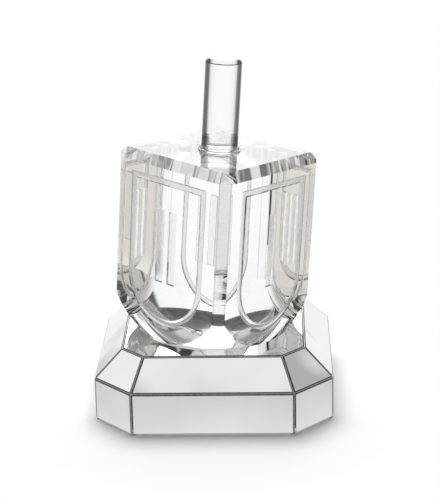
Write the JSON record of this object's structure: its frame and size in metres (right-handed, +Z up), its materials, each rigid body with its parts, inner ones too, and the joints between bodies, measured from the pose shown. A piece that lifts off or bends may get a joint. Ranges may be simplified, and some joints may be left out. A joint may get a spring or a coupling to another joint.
{
  "type": "dreidel on a stand",
  "caption": "Square cut-crystal dreidel with bevelled edges, framed faces and a round stem, whose ball end sits in the round hole of a mirrored octagonal stand and turns or lifts out.",
  "frame": {"origin": "on the table, at the centre of the stand's underside", "axes": "+Z up; the stand's front wall faces -Y, and the dreidel stands with a corner forward"},
  "size_m": [0.085, 0.085, 0.1247],
  "materials": {
    "crystal": "polished",
    "mirror_glass": "polished",
    "painted_core": "matt paint",
    "felt": "matt"
  },
  "bodies": {
    "stand": {"core": "painted_core", "felt": "felt", "top_mirror": "mirror_glass", "wall_front": "mirror_glass", "wall_right": "mirror_glass", "wall_back": "mirror_glass", "wall_left": "mirror_glass", "wall_front_right": "mirror_glass", "wall_back_right": "mirror_glass", "wall_back_left": "mirror_glass", "wall_front_left": "mirror_glass", "slope_front": "mirror_glass", "slope_right": "mirror_glass", "slope_back": "mirror_glass", "slope_left": "mirror_glass", "slope_front_right": "mirror_glass", "slope_back_right": "mirror_glass", "slope_back_left": "mirror_glass", "slope_front_left": "mirror_glass"},
    "foot_ring": {"foot_ring": "crystal"},
    "dreidel": {"crystal_block": "crystal", "stem": "crystal"}
  },
  "joints": [
    {"name": "lift", "type": "slide", "parent": "stand", "child": "foot_ring", "axis": [0, 0, 1], "range_m": [0, 0.04]},
    {"name": "spin", "type": "hinge", "parent": "foot_ring", "child": "dreidel", "pos_m": [0, 0, 0.05189], "axis": [0.0697, 0.0349, 0.997], "continuous": true}
  ]
}
